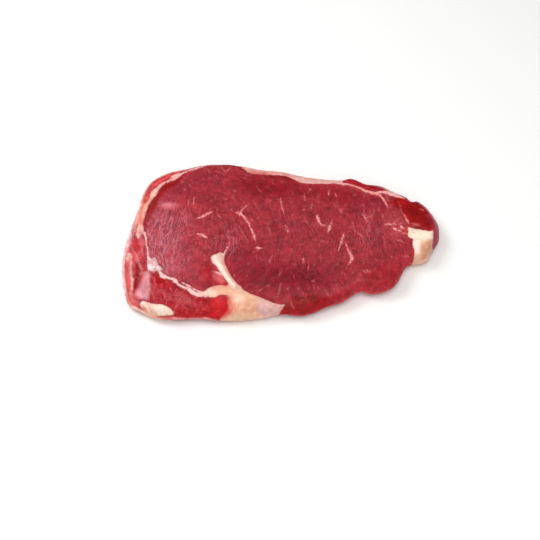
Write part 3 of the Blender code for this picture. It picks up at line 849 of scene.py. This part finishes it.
# %% Strip colours
STRIP = painted((244, 190, 182), [
    (patch((-90, -18), (-86, -16), (-79, -26), (-80, -30), (-90, -29), soft=1),
     (216, 176, 176), .9),
    (blot(-87.4, -25.6, 3.6, 2.4), (255, 246, 242), .95),
    (stroke((-88.6, -19, .4), (-85, -22.6, .4), (-81.6, -26.6, .4), soft=.5), (255, 236, 232), .9),
    (stroke((-86.4, -19.6, .3), (-83.4, -23.6, .3), (-84.6, -27, .3), soft=.5),
     (176, 110, 120), .7),
    (blot(-80.2, -31, 2.4), (244, 214, 208), .9),
    (blot(-90, 40, 2.6, 4, -20), (252, 206, 186), .95),
    (blot(-80, 51, 5, 2, 30), (248, 176, 156), .9),
    (blot(-79.4, 52, 2.6, 1.4, 34), (214, 100, 104), .85),
    (blot(-74.6, 56.6, 3, 1.6, 30), (246, 184, 176), .95),
    (blot(-97, 23, 2.4, 6), (250, 162, 132), .95),
    (blot(-97.6, 14, 2.2, 5), (240, 122, 102), .9),
    (blot(-99.2, 8, 1.8, 3.4), (255, 202, 182), .95),
    (blot(-96.4, 3.4, 1.8, 3), (226, 140, 130), .9),
    (blot(-92.4, 33, 2, 2.4), (236, 134, 124), .8),
    (blot(-94, 30, 2.4, 4), (248, 176, 150), .9),
    (stroke((-80, -32, 1.8), (-70, -36, 1.8), (-64, -41, 1.6), (-57, -46, 1.8), (-50, -48, 2)),
     (250, 216, 210), .9),
    (stroke((46, 47.6, 1.4), (54, 45.4, 1.4), (62, 41, 1.4), (70, 38, 1.4), (76, 27, 1.2)),
     (246, 150, 146), .9),
    (stroke((72, 40.4, 1.2), (78, 39.4, 1.2), (86, 35, 1)), (242, 182, 176), .9),
    (stroke((-72, 58, 1), (-60, 63, 1), (-54, 64.6, 1)), (240, 176, 178), .9),
])

# %% How much fibres and fine fat lines show
fibre = np.clip(sum((
    blot(-82, 0, 13, 24, 4), 0.7 * blot(-70, 14, 8, 14), 0.45 * blot(-34, -2, 8, 16),
    0.5 * blot(-72, -22, 12, 10), 0.14 * blot(10, -2, 60, 40), 0.3 * blot(60, 2, 12, 16),
)), 0, 1)

veins = np.clip(
    blot(-66, -52, 24, 12, -28) + blot(-97, -30, 9, 30, 4) + 0.5 * blot(80, 4, 10, 14), 0, 1
)

# %% [markdown]
# ## Films
# Where a steak was trimmed a film of silverskin is left on its wall. The layers above paint the
# wall that the eye sees, and the rest gets this film, pale and uneven. Its strength is a number at
# each point, painted like the colours, and the shader breaks its border up.

# %% Strength of the film
film_patches = (
    (-108, -20, 12, 44, .60), (-100, 40, 12, 26, .40), (-70, 66, 26, 14, .40),
    (-62, -72, 34, 8, .45), (0, 64, 60, 16, .70), (70, 48, 26, 14, .40),
    (108, 8, 10, 22, .42), (40, -60, 50, 12, .30), (80, -34, 20, 14, .34),
)
film = np.zeros(len(co))
for *region, strength in film_patches:
    film = np.maximum(film, strength * blot(*region, points=sheet))
hidden = blend((0.05 - facing) / 0.3)
film = np.clip(film + 0.10 * waves(co * (1, 1, 0.5), 7, 8), 0, 1) * wall * hidden
print("strongest film: %.2f" % film.max())

# %% Put the numbers on the mesh
steak_mesh = bpy.data.meshes.new("steak")
skin.to_mesh(steak_mesh)
skin.free()
steak_mesh.shade_smooth()


def keep(name, values):
    """Stores one number or one vector or colour for each point of the mesh."""
    values = np.asarray(values, np.float32)
    if values.ndim == 1:
        made = steak_mesh.attributes.new(name, "FLOAT", "POINT")
        made.data.foreach_set("value", values)
    elif name.endswith("_colour"):
        made = steak_mesh.attributes.new(name, "FLOAT_COLOR", "POINT")
        made.data.foreach_set("color", np.hstack([values, np.ones((len(values), 1))]).ravel())
    else:
        made = steak_mesh.attributes.new(name, "FLOAT_VECTOR", "POINT")
        made.data.foreach_set("vector", values.ravel())


for name, values in {
    "fat": np.clip(fat, -8, 8), "seam": np.clip(seam, -8, 8), "rows": rows, "wall": wall,
    "thread_and_glint_side": np.clip(thread_and_glint_side, -4, 4), "thread_and_glint_gain": thread_and_glint_gain,
    "thread_and_glint_width": thread_and_glint_width, "film": film, "crease": crease, "fibre": fibre,
    "veins": veins, "fat_blur": fat_blur, "dull": blend(FLESH[:, 1] / 0.045),
    "flesh_colour": FLESH, "tallow_colour": TALLOW, "strip_colour": STRIP,
}.items():
    keep(name, values)

steak = bpy.data.objects.new("steak", steak_mesh)
bpy.context.scene.collection.objects.link(steak)
print("steak:", len(steak_mesh.polygons), "faces")

# %% [markdown]
# ## Shader sums as Python sums
# A shader is a graph of nodes, and a formula in it soon takes a dozen Math nodes. This small class
# wraps one socket and lets Python's own operators add those nodes, so that 1 - mask * 0.5 can be
# written as it is read. Every other node comes from one method of the class below it.

# %% A socket as a number


class Signal:
    """One output socket that can be added, multiplied and compared like a number."""

    def __init__(self, shader, socket):
        self.shader, self.socket = shader, socket

    def math(self, operation, *values):
        return self.shader.node(
            "ShaderNodeMath", {"operation": operation}, dict(enumerate(values))
        )

    def __add__(self, other):
        return self.math("ADD", self, other)

    def __mul__(self, other):
        return self.math("MULTIPLY", self, other)

    def __sub__(self, other):
        return self.math("SUBTRACT", self, other)

    def __rsub__(self, other):
        return self.math("SUBTRACT", other, self)

    def __truediv__(self, other):
        return self.math("DIVIDE", self, other)

    def __rtruediv__(self, other):
        return self.math("DIVIDE", other, self)

    def __abs__(self):
        return self.math("ABSOLUTE", self)

    def most(self, other):
        return self.math("MAXIMUM", self, other)

    __radd__, __rmul__ = __add__, __mul__

    def step(self, low, high):
        """Smooth step: 0 at low, 1 at high. Low may be the larger one."""
        settings = {"interpolation_type": "SMOOTHSTEP"}
        values = {"Value": self, "From Min": low, "From Max": high}
        return self.shader.node("ShaderNodeMapRange", settings, values)


# %% A node tree and its helpers


class Shader:
    """A new material and the means to fill its node tree."""

    def __init__(self, name):
        self.material = bpy.data.materials.new(name)
        self.material.use_nodes = True
        self.tree = self.material.node_tree
        self.tree.nodes.clear()

    def node(self, kind, settings=None, values=None, output=0):
        """Adds a node: first its settings, then its sockets' values or links."""
        made = self.tree.nodes.new(kind)
        for name, value in (settings or {}).items():
            setattr(made, name, value)
        for name, value in (values or {}).items():
            socket = made.inputs[name]
            if isinstance(value, Signal):
                self.tree.links.new(value.socket, socket)
            else:
                socket.default_value = value
        return Signal(self, made.outputs[output]) if len(made.outputs) else None

    def attribute(self, name, output="Fac"):
        return self.node("ShaderNodeAttribute", {"attribute_name": name}, output=output)

    def mix(self, share, first, second):
        """Mixes two colours; share 1 is all of the second."""
        values = {0: share, 6: first, 7: second}
        return self.node("ShaderNodeMix", {"data_type": "RGBA"}, values, output=2)

    def glazed(self, colour, *layers):
        """A colour with thin layers over it, each a share and a display colour."""
        for share, tint in layers:
            colour = self.mix(share, colour, shade(*tint))
        return colour

    def stretch(self, vector, scale):
        """A vector times one number, or with each of its parts times its own."""
        parts = scale if isinstance(scale, tuple) else (scale,) * 3
        return self.node("ShaderNodeVectorMath", {"operation": "MULTIPLY"}, {0: vector, 1: parts})

    def shifted(self, vector, x, y):
        """A vector moved by signals in its first two parts, which bends a pattern on it."""
        shift = self.node("ShaderNodeCombineXYZ", values={0: x, 1: y, 2: 0.0})
        return self.node("ShaderNodeVectorMath", {"operation": "ADD"}, {0: vector, 1: shift})

    def scaled(self, colour, factor):
        """A colour made brighter or darker by a factor."""
        values = {0: colour, "Scale": factor}
        return self.node("ShaderNodeVectorMath", {"operation": "SCALE"}, values)

    def noise(self, vector, scale, detail=2.0, roughness=0.5, distortion=0.0):
        values = {"Vector": self.stretch(vector, scale), "Scale": 1.0, "Detail": detail,
                  "Roughness": roughness, "Distortion": distortion}
        return self.node("ShaderNodeTexNoise", {"normalize": True}, values)

    def cells(self, vector, feature):
        values = {"Vector": vector, "Scale": 1.0, "Randomness": 1.0}
        return self.node("ShaderNodeTexVoronoi", {"feature": feature}, values, "Distance")


def shade(*rgb):
    """A paint for a display colour as the four numbers of a shader's colour socket."""
    return (*pigment(*rgb), 1.0)


# %% [markdown]
# ## The meat and fat shader
# One shader covers the steak, because on the real thing meat turns into fat without an edge. It
# has three layers: the red meat, the thin strips and threads, and the thick fat. Each has a colour
# of its own, gloss and relief change from meat to fat, and masks built from the distances on the
# mesh say which one shows. A little noise added to a distance before it becomes a mask gives a
# ragged natural border.

# %% Coordinates and masks
raw = Shader("raw_beef")
place = raw.node("ShaderNodeTexCoord", output="Object")
mm = raw.stretch(place, 1000)
row_vector = raw.attribute("rows", "Vector")
wall_mask = raw.attribute("wall")

ragged = raw.noise(mm, 0.45, detail=3, roughness=0.6) - 0.5
fine = raw.noise(mm, 1.7, roughness=0.6) - 0.5
fat_edge = raw.attribute("fat") + ragged * 1.6 + fine * 0.7
fat_mask = (fat_edge / raw.attribute("fat_blur")).step(-0.45, 0.45)
seam_edge = raw.attribute("seam") + ragged * 2.2 + fine * 0.9
seam_mask = seam_edge.step(-0.5, 0.45)

# The threads include the painted glints: highlights of the wet surface drawn as short bright
# dashes.
thread_and_glint_off = abs(raw.attribute("thread_and_glint_side") + fine * 0.55) - raw.attribute("thread_and_glint_width") * 1.3
beads = raw.noise(mm, 0.8).step(0.38, 0.58)
thread_and_glint_mask = thread_and_glint_off.step(0.85, -0.60) * raw.attribute("thread_and_glint_gain") * (0.55 + 0.6 * beads)

# %% [markdown]
# ### Grain of the meat
# Soft blotches of a centimetre and a finer mottling change the tone of the red. Over them lie
# pale marks of fat too small to draw: pores, flicks and wisps along the rows, skins between the
# bundles of fibres, and hair-thin streaks. On the wall the fibres are seen from the side, so there
# the streaks run up and down instead.

# %% Grain
blotch = raw.noise(mm, 0.085, detail=3, roughness=0.55)
mottle = raw.noise(mm, (0.36, 0.30, 0.36), roughness=0.55)
wisps = raw.noise(row_vector, (0.40, 0.13, 1.0), detail=1.5) - 0.5
bent = raw.noise(mm, 0.22) - 0.5
bundles = raw.shifted(raw.stretch(row_vector, (0.62, 0.30, 1.0)), bent * 1.6, fine * 0.5)
bundle_edge = raw.cells(bundles, "DISTANCE_TO_EDGE")
streak_top = raw.noise(row_vector, (0.9, 0.24, 1.0), detail=1)
streak_wall = raw.noise(mm, (1.3, 1.3, 0.16), detail=3, roughness=0.6)
streak = streak_top * (1 - wall_mask) + streak_wall * wall_mask
wavy = raw.noise(row_vector, (0.42, 0.085, 1.0), distortion=0.8)
fibre_line = abs(wavy - 0.5).step(0.06, 0.0)
fibre_dark = abs(wavy - 0.60).step(0.06, 0.0)
pores = raw.noise(mm, 0.75, detail=1)
fibre_share = raw.attribute("fibre") * (1 - wall_mask)
patches = raw.noise(mm, 0.24, detail=1).step(0.44, 0.60)
flick = raw.cells(raw.stretch(row_vector, (0.52, 0.17, 1.0)), "F1").step(0.32, 0.08) * patches
lumps = raw.shifted(raw.stretch(mm, 0.26), bent * 1.5, ragged * 1.2)
lobe_line = raw.cells(lumps, "DISTANCE_TO_EDGE")

# %% Colour of the meat
flesh = raw.attribute("flesh_colour", "Color")
dull = raw.attribute("dull")
vein_share = raw.attribute("veins") * (0.15 + 0.45 * patches)
tone = 1 + (blotch - 0.5) + bent + (mottle - 0.5) * 0.6
meat = raw.glazed(
    raw.scaled(flesh, tone.most(0.74) * (1 - fibre_dark * fibre_share * 0.40)),
    (fibre_line * fibre_share * 0.34, (228, 164, 180)),
    (fine.step(0.08, 0.22) * fibre_share * 0.40, (240, 186, 196)),
    (streak.step(0.56, 0.78) * dull * 0.12, (232, 140, 144)),
    (pores.step(0.58, 0.74) * (0.1 + 0.9 * dull) * 0.50, (224, 116, 122)),
    (wisps.step(0.02, 0.20) * dull * 0.44, (218, 104, 110)),
    (flick * dull * 0.55, (220, 120, 128)),
    (lobe_line.step(0.13, 0.0) * vein_share, (220, 100, 104)),
    (bundle_edge.step(0.10, 0.0) * dull * 0.05, (226, 130, 134)),
    # painted shade: the creases darkened to a deep maroon
    (raw.attribute("crease") * 0.44, (132, 4, 22)),
)

# %% [markdown]
# ### Fat, strips and films
# Fat is made of small soft lobes with faint lines between them, and it takes on pink where it
# meets the meat. Strips and threads are the same stuff, only thinner, so the red shows through.

# %% Colour of the fat
tallow = raw.attribute("tallow_colour", "Color")
cream = raw.glazed(
    raw.scaled(tallow, 1 + (blotch - 0.5) * 0.3 + bent * 0.3 + (mottle - 0.5) * 0.4),
    (lobe_line.step(0.07, 0.0) * 0.14, (226, 156, 130)),
    (pores.step(0.52, 0.72) * 0.40, (226, 156, 124)),
    (mottle.step(0.54, 0.72) * 0.35, (250, 216, 196)),
    (fat_edge.step(1.4, 0.0) * 0.30, (228, 140, 132)),
)
strip = raw.glazed(
    raw.scaled(raw.attribute("strip_colour", "Color"), 1 + fine * 0.3),
    (seam_edge.step(0.45, -0.2) * 0.40, (214, 96, 96)),
    (mottle.step(0.50, 0.64) * 0.45, (222, 108, 106)),
    (streak.step(0.55, 0.75) * 0.25, (250, 226, 212)),
)
film_noise = raw.attribute("film") + (mottle - 0.5) * 0.50 + (streak_wall - 0.5) * 0.20
film_mask = film_noise.step(0.20, 0.66) * 0.58

# %% Layer the colours
colour = raw.glazed(meat, (film_mask, (222, 160, 158)))
# Strong threads, and the painted glints among them, take the paler pink.
thread_and_glint_colour = raw.mix(thread_and_glint_mask.step(0.15, 0.85), shade(222, 104, 108), shade(244, 162, 160))
colour = raw.mix(thread_and_glint_mask, colour, thread_and_glint_colour)
colour = raw.mix(seam_mask * 0.94, colour, strip)
colour = raw.mix(fat_mask, colour, cream)

# %% [markdown]
# ### Gloss and relief
# Meat is wet, so it shines more than fat, and it shines unevenly, where drops stand and where the
# surface has dried. The bundles and streaks stand up by a few hundredths of a millimetre, which is
# enough to break the shine into the small glints that make meat look fresh.

# %% Gloss, relief and the surface itself
pale = fat_mask.most(seam_mask * 0.8).most(thread_and_glint_mask * 0.6)
damp = raw.noise(mm, 0.16, detail=3, roughness=0.6)
roughness = (0.52 - damp * 0.22) * (1 - pale) + (0.50 + fine * 0.12) * pale + wall_mask * 0.25
coat = damp.step(0.40, 0.64) * (0.19 - 0.09 * pale) * (1 - wall_mask)

meat_relief = bundle_edge.step(0.0, 0.28) * 0.30 + streak * 0.30 + pores * 0.05 + mottle * 0.50
lobes = raw.cells(raw.stretch(mm, 0.30), "SMOOTH_F1")
fat_relief = lobe_line.step(0.0, 0.30) * 0.35 + fine * 0.45 + lobes * 0.40
relief = meat_relief * (1 - pale) + fat_relief * pale + pale * 0.55
bump = raw.node(
    "ShaderNodeBump", values={"Strength": 0.25, "Distance": 0.0002, "Height": relief}
)
surface = raw.node("ShaderNodeBsdfPrincipled", values={
    "Base Color": colour,
    "Roughness": roughness,
    "Normal": bump,
    "IOR": 1.42,
    "Specular IOR Level": 0.16,
    "Subsurface Weight": 0.14,
    "Subsurface Radius": (1.0, 0.30, 0.18),
    "Subsurface Scale": 0.002,
    "Coat Weight": coat,
    "Coat Roughness": 0.20,
    "Coat IOR": 1.36,
})
raw.node("ShaderNodeOutputMaterial", values={"Surface": surface})
steak_mesh.materials.append(raw.material)
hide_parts("lean", "fat_wedge", "fat_block", "fat_corner")
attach(steak, "root")

# %% [markdown]
# ## Floor, light and camera
# A plain pale floor, a broad soft light from the left, a second one overhead, and a weaker one in
# front. The camera stands where the drawing was read from.

# %% Floor
floor_bm = bmesh.new()
bmesh.ops.create_grid(floor_bm, x_segments=1, y_segments=1, size=4.0)
floor_mesh = bpy.data.meshes.new("floor")
floor_bm.to_mesh(floor_mesh)
floor_bm.free()
floor = bpy.data.objects.new("floor", floor_mesh)
bpy.context.scene.collection.objects.link(floor)
paper = Shader("pale_paper")
paper_surface = paper.node("ShaderNodeBsdfPrincipled", values={
    "Base Color": (*linear(243, 243, 241), 1.0), "Roughness": 0.9,
})
paper.node("ShaderNodeOutputMaterial", values={"Surface": paper_surface})
floor_mesh.materials.append(paper.material)

# %% Lights


def softbox(name, place, size, power):
    """A square area light at a place, turned to shine on the steak."""
    light = bpy.data.lights.new(name, "AREA")
    light.shape = "SQUARE"
    light.size = size
    light.energy = power
    made = bpy.data.objects.new(name, light)
    made.location = place
    made.rotation_euler = (-Vector(place)).to_track_quat("-Z", "Y").to_euler()
    bpy.context.scene.collection.objects.link(made)


softbox("window", (-0.75, 0.35, 0.90), size=0.60, power=8.6)
softbox("overhead", (0.10, -0.10, 1.10), size=0.90, power=6.6)
softbox("front_fill", (0.05, -0.98, 0.60), size=0.80, power=4.8)

world = bpy.data.worlds.new("pale_room")
world.use_nodes = True
background = world.node_tree.nodes["Background"].inputs
background["Color"].default_value = (1, 1, 1, 1)
background["Strength"].default_value = 0.22
bpy.context.scene.world = world
bpy.context.scene.view_settings.view_transform = "Standard"

# %% Camera
camera_data = bpy.data.cameras.new("camera")
camera_data.lens = LENS
camera_data.sensor_width = SENSOR
camera_data.clip_start, camera_data.clip_end = 0.05, 20
camera = bpy.data.objects.new("camera", camera_data)
camera.location = Vector(EYE) * MM
camera.rotation_euler = Euler((TILT, 0, 0))
bpy.context.scene.collection.objects.link(camera)
bpy.context.scene.camera = camera
